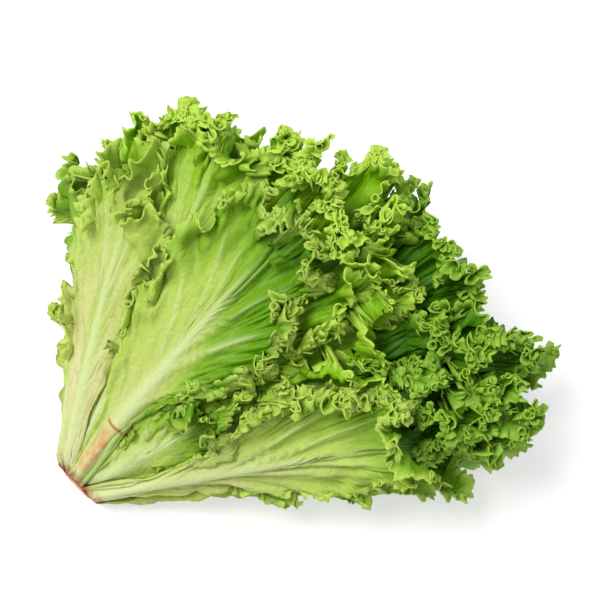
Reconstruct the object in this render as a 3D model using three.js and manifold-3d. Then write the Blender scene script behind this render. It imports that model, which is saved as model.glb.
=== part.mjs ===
// A head of lollo bionda lettuce, cut and laid on its side: a short tapered stem and the leaves that grow from it.
// Millimetres, +Z up. +X runs along the head, from the cut of the stem to the frilled crown. The table is z = 0.
import * as THREE from "three";
import { mergeVertices } from "three/addons/utils/BufferGeometryUtils.js";
import Module from "manifold-3d";

const wasm = await Module();
wasm.setup();
const { degToRad, lerp } = THREE.MathUtils;

// ---------- driving dimensions ----------

const STEM_RADIUS = 7.4; // at the cut
const STEM_LENGTH = 50; // from the cut to the growing point
const STEM_HEIGHT = 9.8; // the stem's axis above the table at the cut
const AXIS_RISE = 0.17; // how fast the head's axis climbs towards the crown, mm per mm
const APEX = 10; // every leaf points back to a common point this far behind the cut
const FAN = degToRad(45); // half of the angle that the outer leaves fan out to
const CROWN_HALF_HEIGHT = 68; // from the axis to the uppermost leaves
const HEIGHT_GROWTH = 72; // the head nears that height over about this length
const TABLE_CLEARANCE = 0.45; // middle of the lowest leaves above the table, which presses them flat
const SAG = 1.5; // how far they would hang below the table if it didn't hold them up
const ROUND_TOP = 2.0; // exponents of the head's cross-section, an oval that is boxier below, where it lies
const ROUND_BOTTOM = 2.7;
const LEAF_THICKNESS = 1.1; // with the fine crinkles of the blade
const RIB_THICKNESS = 2.0; // at the midrib and the petiole
const PETIOLE_HALF = 5.5; // half of a leaf's width where it leaves the stem
const WIDEST = 0.66; // where the blade is widest, as a share of its length
const BEND_LENGTH = 38; // the frilled end that curls
const VEIN_START = 0.72; // a side vein leaves the midrib at this share of the way to where it meets the margin
const GAP = 0.4; // between a leaf and what it lies against
const BASE_TRIM = 1; // the leaves start this far behind the face where the stem was cut

// Each leaf lies on one of a nest of oval cones, and these numbers place it there:
// shell   which cone, from 1 on the outside to 0 on the axis
// turn    degrees round the axis where its midrib runs: 0 is the +Y side, 90 the top, 180 the -Y side, 270 underneath
// lean    how much the shell grows for each radian round the axis, so that one edge lies over the next leaf's edge
// reach   how far its tip is from the common point, measured along the leaf
// minus, plus   its width where it is widest, from the midrib to either margin; the angle grows to the plus side
// neckMinus, neckPlus   how far up that side stays as narrow as the petiole, where it does
// curl    degrees that its frilled end bends away from the axis
const OUTER = [
  { shell: 1, turn: 90, lean: 0, reach: 174, minus: 40, plus: 38, curl: 50, neckPlus: 0.3 },
  { shell: 1, turn: 152, lean: 0, reach: 184, minus: 38, plus: 24, curl: 45, neckMinus: 0.3 },
  { shell: 0.95, turn: 44, lean: 0, reach: 166, minus: 30, plus: 24, curl: 45 },
  { shell: 0.92, turn: 124, lean: 0, reach: 92, minus: 20, plus: 26, curl: 30 },
  { shell: 0.92, turn: 12, lean: -0.08, reach: 160, minus: 33, plus: 33, curl: 8 },
  { shell: 0.97, turn: 204, lean: 0, reach: 206, minus: 26, plus: 30, curl: 4 },
  { shell: 0.98, turn: 236, lean: 0.02, reach: 176, minus: 34, plus: 38, curl: -4 },
  { shell: 0.98, turn: 275, lean: 0, reach: 190, minus: 42, plus: 42, curl: -4 },
  { shell: 0.98, turn: 314, lean: 0.04, reach: 162, minus: 33, plus: 22, curl: -4 },
];
const MIDDLE = [
  { shell: 0.88, turn: 65, lean: 0, reach: 190, minus: 33, plus: 33, curl: 50 },
  { shell: 0.86, turn: 101, lean: 0, reach: 195, minus: 30, plus: 30, curl: 55 },
  { shell: 0.85, turn: 138, lean: 0, reach: 164, minus: 32, plus: 32, curl: 30 },
  { shell: 0.81, turn: 36, lean: 0, reach: 182, minus: 34, plus: 34, curl: 45 },
  { shell: 0.82, turn: 158, lean: 0, reach: 202, minus: 34, plus: 34, curl: 45 },
  { shell: 0.79, turn: 168, lean: 0, reach: 226, minus: 34, plus: 34, curl: 30 },
  { shell: 0.84, turn: 350, lean: 0, reach: 158, minus: 30, plus: 30, curl: 25 },
  { shell: 0.84, turn: 202, lean: 0, reach: 222, minus: 34, plus: 34, curl: 5 },
  { shell: 0.79, turn: 250, lean: 0, reach: 204, minus: 40, plus: 40, curl: 0 },
  { shell: 0.79, turn: 302, lean: 0, reach: 184, minus: 38, plus: 38, curl: 0 },
  { shell: 0.8, turn: 83, lean: 0, reach: 206, minus: 34, plus: 34, curl: 55 },
  { shell: 0.77, turn: 121, lean: 0, reach: 186, minus: 32, plus: 32, curl: 35 },
  { shell: 0.75, turn: 174, lean: 0, reach: 236, minus: 34, plus: 34, curl: 25 },
  { shell: 0.73, turn: 52, lean: 0, reach: 197, minus: 36, plus: 36, curl: 50 },
];
const HEART = [
  { shell: 0.72, turn: 113, lean: 0, reach: 203, minus: 32, plus: 32, curl: 50 },
  { shell: 0.7, turn: 97, lean: 0, reach: 218, minus: 38, plus: 38, curl: 50 },
  { shell: 0.68, turn: 150, lean: 0, reach: 214, minus: 34, plus: 34, curl: 40 },
  { shell: 0.66, turn: 15, lean: 0, reach: 166, minus: 34, plus: 34, curl: 35 },
  { shell: 0.65, turn: 160, lean: 0, reach: 236, minus: 34, plus: 34, curl: 35 },
  { shell: 0.62, turn: 186, lean: 0, reach: 243, minus: 34, plus: 34, curl: 15 },
  { shell: 0.6, turn: 228, lean: 0, reach: 222, minus: 38, plus: 38, curl: 5 },
  { shell: 0.6, turn: 285, lean: 0, reach: 202, minus: 38, plus: 38, curl: 5 },
  { shell: 0.57, turn: 132, lean: 0, reach: 230, minus: 36, plus: 36, curl: 40 },
  { shell: 0.46, turn: 330, lean: 0, reach: 180, minus: 34, plus: 34, curl: 20 },
  { shell: 0.36, turn: 112, lean: 0, reach: 227, minus: 34, plus: 34, curl: 35 },
  { shell: 0.3, turn: 250, lean: 0, reach: 216, minus: 30, plus: 30, curl: 10 },
];

const MARGIN_FACETS = 14; // along the margin of a leaf, round from its base on one side to its base on the other
const ROWS = [0, 0.5, 1]; // points on the way from the midrib to the margin
const STEM_RINGS = 9;
const STEM_FACETS = 20;
const WELD = 1e-4; // points closer than this are one

// ---------- the nest of oval cones ----------

const axisHeight = (r) => STEM_HEIGHT + AXIS_RISE * (r - APEX);
const heightAbove = (r) => CROWN_HALF_HEIGHT * (1 - Math.exp(-r / HEIGHT_GROWTH));
const heightBelow = (r) => axisHeight(r) + SAG;
const rounded = (x, power) => Math.sign(x) * Math.abs(x) ** (2 / power);

// The point of a leaf's cone at distance r from the common point and at angle phi round the axis.
function onCone(leaf, r, phi) {
  const upper = Math.sin(phi) >= 0;
  const power = upper ? ROUND_TOP : ROUND_BOTTOM;
  const shell = leaf.shell + leaf.lean * (phi - degToRad(leaf.turn));
  const side = shell * FAN * rounded(Math.cos(phi), power);
  const lift = shell * rounded(Math.sin(phi), power) * (upper ? heightAbove(r) : heightBelow(r));
  return new THREE.Vector3(r * Math.cos(side) - APEX, r * Math.sin(side), axisHeight(r) + lift);
}

// The angle that lies the distance across from the midrib, measured round the cone in short steps.
function angleAt(leaf, r, across) {
  const step = Math.sign(across) * degToRad(3);
  let phi = degToRad(leaf.turn);
  let here = onCone(leaf, r, phi);
  let left = Math.abs(across);
  while (left > 0) {
    const there = onCone(leaf, r, phi + step);
    const length = here.distanceTo(there);
    phi += step * Math.min(1, left / length);
    left -= length;
    here = there;
  }
  return phi;
}

// ---------- one leaf ----------

// The margin of a leaf spread flat, from its base on one side (u = -1) round the tip (u = 0) to its base on the
// other side (u = 1): the share of its length, and the signed distance from its midrib.
function margin(leaf, u) {
  const roundShare = 0.46; // this much of the margin, either way from the tip, is round
  const sign = Math.sign(u);
  const a = Math.abs(u);
  const half = u < 0 ? leaf.minus : leaf.plus;
  const neck = (u < 0 ? leaf.neckMinus : leaf.neckPlus) ?? 0;
  if (a <= roundShare) {
    const w = ((a / roundShare) * Math.PI) / 2;
    return [WIDEST + (1 - WIDEST) * Math.cos(w), sign * half * Math.sin(w)];
  }
  const x = 1 - (a - roundShare) / (1 - roundShare); // 1 where it is widest, 0 at the base
  const swell = THREE.MathUtils.smoothstep(x, neck, 1);
  return [WIDEST * x, sign * lerp(PETIOLE_HALF, half, swell)];
}

// A point of the leaf's middle surface: v runs from the midrib (0) along a side vein to the margin (1), which spare
// moves outwards.
function leafPoint(leaf, u, v, spare) {
  const [share, across] = margin(leaf, u);
  const along = lerp(share * VEIN_START, share, v);
  const length = lerp(APEX, leaf.reach + spare, along);
  const bendFrom = leaf.reach - BEND_LENGTH;
  const past = Math.max(0, length - bendFrom);
  // the frilled end follows an arc, so its own turn grows along it
  const turned = (degToRad(leaf.curl) * past) / BEND_LENGTH;
  const r = Math.min(length, bendFrom) + past * (1 - turned ** 2 / 6);
  const rise = ((past * turned) / 2) * (1 - turned ** 2 / 12);
  const phi = angleAt(leaf, r, (across + Math.sign(across) * spare) * v);
  const point = onCone(leaf, r, phi);
  const around = onCone(leaf, r, phi + 0.01).sub(point);
  const outwards = onCone(leaf, r + 1, phi).sub(point);
  const normal = around.cross(outwards).normalize();
  point.addScaledVector(normal, rise);
  point.z = Math.max(point.z, TABLE_CLEARANCE);
  return point;
}

// A closed solid of a leaf: its middle surface, made thicker towards the midrib. spare is added all round.
function leafSolid(leaf, spare) {
  const n = MARGIN_FACETS;
  const last = ROWS.length - 1;
  const middle = [];
  for (const v of ROWS)
    for (let j = 0; j <= n; j++) middle.push(leafPoint(leaf, (2 * j) / n - 1, v, spare));
  // both halves of the leaf share the midrib's points
  const at = (j, k) => (k === 0 ? Math.min(j, n - j) : k * (n + 1) + j);
  const faces = [];
  for (let k = 0; k < last; k++)
    for (let j = 0; j < n; j++) {
      const [a, b, c, d] = [at(j, k), at(j + 1, k), at(j + 1, k + 1), at(j, k + 1)];
      faces.push([a, b, c], [a, c, d]);
    }
  const normals = middle.map(() => new THREE.Vector3());
  for (const face of faces) {
    const [a, b, c] = face.map((i) => middle[i]);
    const normal = b.clone().sub(a).cross(c.clone().sub(a));
    for (const i of face) normals[i].add(normal);
  }
  const count = middle.length;
  const positions = new Float32Array(count * 6);
  middle.forEach((point, i) => {
    const v = ROWS[Math.floor(i / (n + 1))];
    const half = lerp(RIB_THICKNESS, LEAF_THICKNESS, Math.min(1, v * 2)) / 2 + spare;
    const away = normals[i].normalize().multiplyScalar(half);
    point.clone().add(away).toArray(positions, i * 3);
    point.clone().sub(away).toArray(positions, (count + i) * 3);
  });
  const triangles = [];
  for (const [a, b, c] of faces) triangles.push(a, b, c, count + c, count + b, count + a);
  const rim = [];
  for (let j = 0; j <= n; j++) rim.push(at(j, last));
  for (let k = last - 1; k > 0; k--) rim.push(at(n, k));
  for (let k = 0; k < last; k++) rim.push(at(0, k));
  rim.forEach((a, i) => {
    const b = rim[(i + 1) % rim.length];
    triangles.push(a, b, count + b, a, count + b, count + a);
  });
  return solidOf(positions, triangles);
}

// ---------- the stem ----------

// A cone with a blunt end, grown by spare all round. Its axis climbs with the head's, and its cut is upright.
function stemSolid(spare) {
  const profile = [new THREE.Vector2(0, 0)];
  for (let i = 0; i < STEM_RINGS; i++) {
    const share = i / STEM_RINGS;
    const radius = STEM_RADIUS * (1 - share ** 1.6) ** 0.75;
    profile.push(new THREE.Vector2(radius + spare, share * STEM_LENGTH));
  }
  profile.push(new THREE.Vector2(0, STEM_LENGTH + spare));
  const lathe = new THREE.LatheGeometry(profile, STEM_FACETS).rotateZ(-Math.PI / 2);
  const points = lathe.getAttribute("position");
  for (let i = 0; i < points.count; i++) {
    const rise = STEM_HEIGHT + AXIS_RISE * points.getX(i);
    points.setZ(i, points.getZ(i) + rise);
  }
  return solidOf(points.array, [...lathe.index.array]);
}

// ---------- joins and cuts ----------

function solidOf(positions, triangles) {
  const loose = new THREE.BufferGeometry();
  loose.setAttribute("position", new THREE.BufferAttribute(positions, 3));
  loose.setIndex(triangles);
  const welded = mergeVertices(loose, WELD);
  return new wasm.Manifold(
    new wasm.Mesh({
      numProp: 3,
      vertProperties: welded.attributes.position.array,
      triVerts: new Uint32Array(welded.index.array),
    }),
  );
}

// A block far bigger than the head, centred at x and z, to trim what passes one of its faces.
const BLOCK = 1000;
function blockAt(x, z) {
  const box = new THREE.BoxGeometry(BLOCK, BLOCK, BLOCK).translate(x, 0, z);
  return solidOf(box.getAttribute("position").array, [...box.index.array]);
}

function boxesMeet(a, b) {
  const [p, q] = [a.boundingBox(), b.boundingBox()];
  return [0, 1, 2].every((i) => p.min[i] <= q.max[i] && q.min[i] <= p.max[i]);
}

// Where two leaves press together, the one further in gives way. A scrap that this cuts off is left out.
function leafBeside(leaf, neighbours) {
  let solid = leafSolid(leaf, 0);
  for (const neighbour of neighbours) if (boxesMeet(solid, neighbour)) solid = solid.subtract(neighbour);
  return solid.decompose().sort((a, b) => b.volume() - a.volume())[0];
}

// ---------- assembly ----------

const STEM_FINISH = new THREE.MeshStandardMaterial({ color: "#d9d3a0", roughness: 0.55 });
const OUTER_FINISH = new THREE.MeshStandardMaterial({ color: "#a9c75c", roughness: 0.5 });
const MIDDLE_FINISH = new THREE.MeshStandardMaterial({ color: "#8dbb34", roughness: 0.5 });
const HEART_FINISH = new THREE.MeshStandardMaterial({ color: "#b9cf5e", roughness: 0.5 });

const lettuce = new THREE.Group();

function addMesh(name, solid, finish) {
  const { vertProperties, triVerts } = solid.getMesh();
  const geometry = new THREE.BufferGeometry();
  geometry.setAttribute("position", new THREE.BufferAttribute(vertProperties, 3));
  geometry.setIndex(new THREE.BufferAttribute(triVerts, 1));
  geometry.computeVertexNormals();
  const mesh = new THREE.Mesh(geometry, finish);
  mesh.name = name;
  lettuce.add(mesh);
}

addMesh("stem", stemSolid(0), STEM_FINISH);
const neighbours = [blockAt(0, -BLOCK / 2), blockAt(BASE_TRIM - BLOCK / 2, 0), stemSolid(GAP)];

function addLeaves(word, leaves, finish) {
  leaves.forEach((leaf, i) => {
    addMesh(`${word}_leaf_${i + 1}`, leafBeside(leaf, neighbours), finish);
    neighbours.push(leafSolid(leaf, GAP));
  });
}
addLeaves("outer", OUTER, OUTER_FINISH);
addLeaves("middle", MIDDLE, MIDDLE_FINISH);
addLeaves("heart", HEART, HEART_FINISH);

// The origin is on the table, under the middle of the head.
const bounds = new THREE.Box3().setFromObject(lettuce);
const centre = bounds.getCenter(new THREE.Vector3());
lettuce.position.set(-centre.x, -centre.y, -bounds.min.z);
lettuce.updateMatrixWorld(true);

export default lettuce;
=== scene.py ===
# %% [markdown]
# # A head of lollo bionda lettuce
# The head was cut across its stem and lies on its side. Thirty-five leaves grow from the stem, one inside
# the other, and each ends in a frill of small curls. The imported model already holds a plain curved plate
# for every leaf and a plain cone for the stem. It gives each piece its place. Here every plate becomes a
# leaf with ribs, pleats and a frill.

# %% Load the frame
import math
import time

import bmesh
import bpy
import numpy as np
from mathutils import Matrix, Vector


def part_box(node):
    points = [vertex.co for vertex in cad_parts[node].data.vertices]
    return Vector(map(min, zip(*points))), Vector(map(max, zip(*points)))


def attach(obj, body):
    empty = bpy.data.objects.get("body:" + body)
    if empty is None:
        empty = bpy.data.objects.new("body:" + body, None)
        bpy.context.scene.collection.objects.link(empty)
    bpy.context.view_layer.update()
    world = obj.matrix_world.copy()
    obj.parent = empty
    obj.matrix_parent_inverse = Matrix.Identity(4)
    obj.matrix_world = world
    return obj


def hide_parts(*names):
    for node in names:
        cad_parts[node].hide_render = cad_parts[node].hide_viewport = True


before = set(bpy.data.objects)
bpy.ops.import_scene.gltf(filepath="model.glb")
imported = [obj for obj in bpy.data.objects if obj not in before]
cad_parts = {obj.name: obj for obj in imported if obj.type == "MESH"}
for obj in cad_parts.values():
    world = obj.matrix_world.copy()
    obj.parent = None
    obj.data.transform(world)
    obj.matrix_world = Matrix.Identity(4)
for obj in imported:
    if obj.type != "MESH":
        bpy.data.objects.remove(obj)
clock = time.time()
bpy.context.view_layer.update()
MM = 0.001
stem_low, stem_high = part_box("stem")
cut_x = stem_low.x / MM
cut_y = (stem_low.y + stem_high.y) / 2 / MM
print("cut of the stem at", round(cut_x, 1), round(cut_y, 1), "mm")

# %% [markdown]
# ## A nest of oval cones
# In a loose head each leaf wraps round the ones inside it, like paper cones in a stack. The stack lies on
# the table, so it is rounder on top and flatter below. A leaf could be placed and bent by hand, but thirty-
# five of them would cut through each other. So there is one rule instead: a point is named by its shell (1
# outside, 0 on the axis), its distance r from where all leaves meet, and its turn phi round the axis. Two
# shells never cross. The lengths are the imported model's own, in millimetres, measured from the cut.

# %% Points on the cones
APEX = 10.0  # the leaves meet this far behind the cut
STEM_HEIGHT = 9.8  # the axis above the table at the cut
AXIS_RISE = 0.17
FAN = math.radians(45)
CROWN_HALF_HEIGHT = 68.0
HEIGHT_GROWTH = 72.0
SAG = 1.5
ROUND_TOP = 2.0
ROUND_BOTTOM = 2.7
TABLE_CLEARANCE = 0.45
BASE_TRIM = 0.6  # the knife went through every leaf here
CROWN_TOP, CROWN_GIVE = 112.0, 14.0  # curls that rise above the first are pressed down, by up to the second


def axis_height(r):
    return STEM_HEIGHT + AXIS_RISE * (r - APEX)


def half_height(r, upper):
    above = CROWN_HALF_HEIGHT * (1 - np.exp(-r / HEIGHT_GROWTH))
    return np.where(upper, above, axis_height(r) + SAG)


def on_cone(shell, r, phi):
    upper = np.sin(phi) >= 0
    power = 2 / np.where(upper, ROUND_TOP, ROUND_BOTTOM)
    across, up = np.cos(phi), np.sin(phi)
    side = shell * FAN * np.sign(across) * np.abs(across) ** power
    lift = shell * np.sign(up) * np.abs(up) ** power * half_height(r, upper)
    return np.stack([r * np.cos(side) - APEX, r * np.sin(side), axis_height(r) + lift], -1)


def off_cone(p):
    """The way back: the shell, distance and turn of a point."""
    r = np.hypot(p[..., 0] + APEX, p[..., 1])
    lift = p[..., 2] - axis_height(r)
    upper = lift >= 0
    power = np.where(upper, ROUND_TOP, ROUND_BOTTOM)
    a = np.arctan2(p[..., 1], p[..., 0] + APEX) / FAN
    b = lift / half_height(r, upper)
    aa, bb = np.abs(a) ** power, np.abs(b) ** power
    shell = (aa + bb) ** (1 / power)
    phi = np.arctan2(np.sign(b) * np.sqrt(bb), np.sign(a) * np.sqrt(aa))
    return shell, r, phi


there_and_back = off_cone(on_cone(np.array(0.8), np.array(120.0), np.array(1.0)))
print("shell 0.8, 120 mm, 1 radian comes back as", [round(float(x), 3) for x in there_and_back])

# %% [markdown]
# ## Small tools
# A leaf is worked out as a sheet of points: u runs round its margin from -1 at the base, past the tip at 0,
# to 1 at the base again, and v runs from the midrib (0) out along a side rib to the margin (1). These
# helpers ease values, measure lengths, find the way a sheet faces, and give smooth seeded noise, so that
# every run grows the same head.

# %% Helpers for sheets of points


def smooth(x, low, high):
    t = np.clip((x - low) / (high - low), 0, 1)
    return t * t * (3 - 2 * t)


def unit(v):
    return v / (np.linalg.norm(v, axis=-1, keepdims=True) + 1e-12)


def run_length(line):
    return np.concatenate([[0], np.cumsum(np.linalg.norm(np.diff(line, axis=0), axis=1))])


def local_frame(p):
    """Along the margin, out towards it, and away from the head's axis, at every point of a sheet."""
    along = unit(np.gradient(p, axis=1))
    normal = unit(np.cross(along, np.gradient(p, axis=0)))
    normal[0] = unit(normal[1] + normal[1][::-1])
    return along, np.cross(normal, along), normal


def wander(rng, x, knots):
    """Smooth random values between -1 and 1 along a line."""
    values = rng.uniform(-1, 1, int(knots) + 5)
    t = x * knots + 1
    i = np.clip(np.floor(t).astype(int), 0, len(values) - 2)
    f = t - i
    f = f * f * (3 - 2 * f)
    return values[i] * (1 - f) + values[i + 1] * f


def field(rng, x, y, nx, ny):
    """Smooth random values between -1 and 1 over a sheet, nx by ny of them."""
    values = rng.uniform(-1, 1, (int(ny) + 3, int(nx) + 3))
    i = np.clip(x * int(nx), 0, int(nx) + 0.999)
    j = np.clip(y * int(ny), 0, int(ny) + 0.999)
    i0, j0 = i.astype(int), j.astype(int)
    a = i - i0
    b = j - j0
    a = a * a * (3 - 2 * a)
    b = b * b * (3 - 2 * b)
    low = values[j0, i0] * (1 - a) + values[j0, i0 + 1] * a
    high = values[j0 + 1, i0] * (1 - a) + values[j0 + 1, i0 + 1] * a
    return low * (1 - b) + high * b


def per_side(pair, u):
    """A value for the minus side and one for the plus side, eased over the tip."""
    return pair[0] + (pair[1] - pair[0]) * smooth(u, -0.3, 0.3)


print("a quarter, a half and three quarters are eased to", smooth(np.array([0.25, 0.5, 0.75]), 0, 1))

# %% [markdown]
# ## The outline of a leaf
# Spread flat, a lettuce leaf is a fan on a thick stalk, widest at two thirds of its length, with shallow
# bays between broad lobes. It could be cut from a plane along a drawn outline, but then its faces wouldn't
# follow its ribs. Here the rows of faces run along the margin and the columns along the side ribs, as the
# real tissue grows.

# %% Margin, lobes and the bent end
WIDEST = 0.66
ROUND_SHARE = 0.46
PETIOLE_HALF = 5.5
BEND_LENGTH = 38.0  # the end of the leaf that curls away from the head
VEIN_START = 0.45  # a side rib leaves the midrib this far up
BAYS, BAY_WIDTH = 12, 0.045  # round the margin, and how wide as a part of half of it


def margin(leaf, u):
    a = np.abs(u)
    half = np.where(u < 0, leaf["halves"][0], leaf["halves"][1])
    w = a / ROUND_SHARE * math.pi / 2
    x = 1 - (a - ROUND_SHARE) / (1 - ROUND_SHARE)
    tip = a <= ROUND_SHARE
    share = np.where(tip, WIDEST + (1 - WIDEST) * np.cos(w), WIDEST * x)
    neck = np.where(u < 0, leaf["necks"][0], leaf["necks"][1])
    width = np.where(tip, half * np.sin(w), PETIOLE_HALF + (half - PETIOLE_HALF) * smooth(x, neck, 1))
    return share, np.sign(u) * width


def lobing(leaf, u):
    """0 on a lobe, up to 1 at the bottom of a bay."""
    rng = np.random.default_rng(1000 + leaf["seed"])
    marks = np.linspace(-1.02, 1.02, BAYS) + rng.uniform(-0.04, 0.04, BAYS)
    depth = rng.uniform(0.5, 1.0, BAYS)
    bays = np.zeros_like(u)
    for mark, deep in zip(marks, depth):
        bays = np.maximum(bays, deep * np.exp(-(((u - mark) / BAY_WIDTH) ** 2)))
    return bays


def angle_at(leaf, r, across):
    """The turn at a distance across from the midrib, from a table of lengths measured round the cone."""
    turn = math.radians(leaf["turn"])
    rs = np.linspace(max(1.0, r.min() - 1), r.max() + 1, 60)
    steps = np.radians(np.arange(-200, 201, 2.0))
    qs = np.linspace(across.min() - 1, across.max() + 1, 200)
    table = np.empty((len(rs), len(qs)))
    for i, ri in enumerate(rs):
        ring = on_cone(leaf["shell"] + leaf["lean"] * steps, ri, turn + steps)
        length = run_length(ring)
        length -= length[len(steps) // 2]
        table[i] = np.interp(qs, length, steps)
    i = np.clip((r - rs[0]) / (rs[1] - rs[0]), 0, len(rs) - 1.001)
    j = np.clip((across - qs[0]) / (qs[1] - qs[0]), 0, len(qs) - 1.001)
    i0, j0 = i.astype(int), j.astype(int)
    fi, fj = i - i0, j - j0
    low = table[i0, j0] * (1 - fj) + table[i0, j0 + 1] * fj
    high = table[i0 + 1, j0] * (1 - fj) + table[i0 + 1, j0 + 1] * fj
    return turn + low * (1 - fi) + high * fi


def leaf_surface(leaf, u, v, lobes=True):
    """Points of the smooth leaf, with their length from the base, distance across and normal."""
    share, across = margin(leaf, u)
    if lobes:
        v = v * (1 - leaf["lobes"] * lobing(leaf, u) * smooth(v, 0.0, 0.75))
    along = share * (VEIN_START + (1 - VEIN_START) * v)
    length = APEX + (leaf["reach"] - APEX) * along
    bend_from = leaf["reach"] - BEND_LENGTH
    past = np.maximum(0, length - bend_from)
    turned = math.radians(leaf["curl"]) * past / BEND_LENGTH
    r = np.minimum(length, bend_from) + past * (1 - turned**2 / 6)
    rise = past * turned / 2 * (1 - turned**2 / 12)
    q = across * v * (0.6 + 0.4 * v) + np.zeros_like(length)
    phi = angle_at(leaf, r, q)
    shell = leaf["shell"] + leaf["lean"] * (phi - math.radians(leaf["turn"]))
    p = on_cone(shell, r, phi)
    around = on_cone(shell, r, phi + 0.01) - p
    outwards = on_cone(shell, r + 1, phi) - p
    normal = unit(np.cross(around, outwards))
    return p + normal * rise[..., None], length, q, normal


share, across = margin(dict(halves=(40, 40), necks=(0, 0)), np.array([0.0, ROUND_SHARE]))
print("a leaf with halves of 40 mm is", across.round(1), "mm to a side at", share.round(2), "of its length")

# %% [markdown]
# ## Ribs, pleats and blisters
# The midrib is a thick pale band that stands proud on the outside and flattens towards the tip. Side ribs
# fan out from it, the blade sags into pleats between them, and fine creases and blisters cover it. A bump
# map would lose all of this at the silhouette and in the shadows, so it is a height added to the surface,
# in millimetres. The ribs also leave a mask, and the finish uses it to paint them paler.

# %% Height of the ribs and the blade between them
MIDRIB_HALF_WIDTH = (8.0, 5.5)  # mm at the base, and what is lost of it towards the tip
MIDRIB_HEIGHT = (2.8, 2.2)
SIDE_RIB_WIDTH = (2.2, 1.5)
SIDE_RIB_HEIGHT = (1.1, 0.7)


def ribs(leaf, p, u, v, length, q):
    rng = np.random.default_rng((leaf["seed"], 3))
    t = length / leaf["reach"]
    width = MIDRIB_HALF_WIDTH[0] - MIDRIB_HALF_WIDTH[1] * smooth(t, 0.1, 0.8)
    height = MIDRIB_HEIGHT[0] - MIDRIB_HEIGHT[1] * smooth(t, 0.05, 0.75)
    height = height * (1 - smooth(t, 0.6, 0.95))
    mid = 0.5 + 0.5 * np.cos(np.pi * np.clip(q / width, -1, 1))
    per_u = np.linalg.norm(np.gradient(p, axis=1), axis=-1) / np.abs(np.gradient(u, axis=1))
    vein = np.full_like(u, 9.0)
    sagging = np.zeros_like(u)
    strong = np.ones_like(u)
    sway = 0.012 * field(rng, (u + 1) / 2, v, 14, 4)
    for k, side in enumerate((-1, 1)):
        count = leaf["ribs"][k]
        marks = (np.arange(count) + 0.6 + 0.5 * rng.uniform(-1, 1, count)) / count * 0.9
        marks = np.concatenate([[0.0], marks, [1.1]])
        force = rng.uniform(0.3, 1.0, len(marks))
        depth = rng.uniform(0.2, 1.2, len(marks)) * leaf["pleats"][k]
        a = u * side + sway
        i = np.clip(np.searchsorted(marks, a, side="right") - 1, 0, len(marks) - 2)
        c = (a - marks[i]) / (marks[i + 1] - marks[i])
        below = np.where(i > 0, a - marks[i], 9) * per_u
        above = (marks[i + 1] - a) * per_u
        on = u * side >= 0
        sagging = np.where(on, np.sin(np.pi * np.clip(c, 0, 1)) * depth[i], sagging)
        vein = np.where(on, np.minimum(np.abs(below), np.abs(above)), vein)
        strong = np.where(on, force[np.where(below < above, i, i + 1)], strong)
    vein_width = (SIDE_RIB_WIDTH[0] - SIDE_RIB_WIDTH[1] * smooth(v, 0.1, 0.9)) * (0.5 + 0.5 * strong)
    line = np.exp(-((vein / vein_width) ** 2)) * smooth(v, 0.02, 0.15) * (1 - smooth(v, 0.6, 0.85))
    side_height = SIDE_RIB_HEIGHT[0] - SIDE_RIB_HEIGHT[1] * smooth(v, 0.2, 0.95)
    rise = height * mid
    rise = rise + line * strong * side_height * (1 - mid)
    rise = rise - sagging * smooth(v, 0.06, 0.45) * (1 - 0.5 * smooth(v, 0.6, 1))
    fine = 0.7 * field(rng, (u + 1) / 2, v, 90, 5) + 0.35 * field(rng, (u + 1) / 2, v, 190, 12)
    rise = rise + leaf["crease"] * fine * smooth(v, 0.03, 0.3) * (1 - mid)
    rise = rise + leaf["blister"] * field(rng, (u + 1) / 2, v, 24, 9) * smooth(v, 0.3, 0.6)
    mask = np.maximum(mid * smooth(height, 0.1, 0.9), 0.7 * line * strong)
    return rise, mask


print("at its base a midrib stands", MIDRIB_HEIGHT[0], "mm proud, a side rib", SIDE_RIB_HEIGHT[0], "mm")

# %% [markdown]
# ## The frill
# A lollo leaf frills because its edge keeps growing after the rest has stopped. The margin ends up several
# times as long as the leaf it borders, and the only room for it is sideways, in waves that carry smaller
# waves. Cloth simulation could buckle such a sheet, but not at this size within a few minutes. A river has
# the same problem and solves it by meandering: its direction swings to and fro, and a swing of a radians
# makes it 1 / J0(a) times longer, where J0 is a Bessel function. The margin here meanders at three scales
# at once. Last, the band falls outwards a little differently every few millimetres, and its edge is cut
# into teeth.

# %% Meander of the margin
# each wave: length along the frilled margin (mm), swing (radians), how deep in the leaf it starts (mm)
WAVES = [(80, 1.3, 60), (22, 1.38, 28), (8.2, 1.38, 14)]


def bessel(a):
    return 1 - a**2 / 4 + a**4 / 64 - a**6 / 2304 + a**8 / 147456


def settle(values, s, window):
    """Take the slow drift out of a displacement, so that the frill stays on its leaf."""
    even = np.linspace(0, s[-1], 600)
    kernel = np.hanning(2 * int(window / (even[1] - even[0]) / 2) + 3)
    line = np.interp(even, s, values)
    slow = np.convolve(np.pad(line, len(kernel) // 2, mode="reflect"), kernel / kernel.sum(), "valid")
    return values - np.interp(s, even, slow)


def along_margin(leaf, key, line, values):
    """Lengths along the margin, measured on the first, fine pass and read again on the second."""
    if key not in leaf["rulers"]:
        leaf["rulers"][key] = (line, values)
    return np.interp(line, *leaf["rulers"][key])


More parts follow.
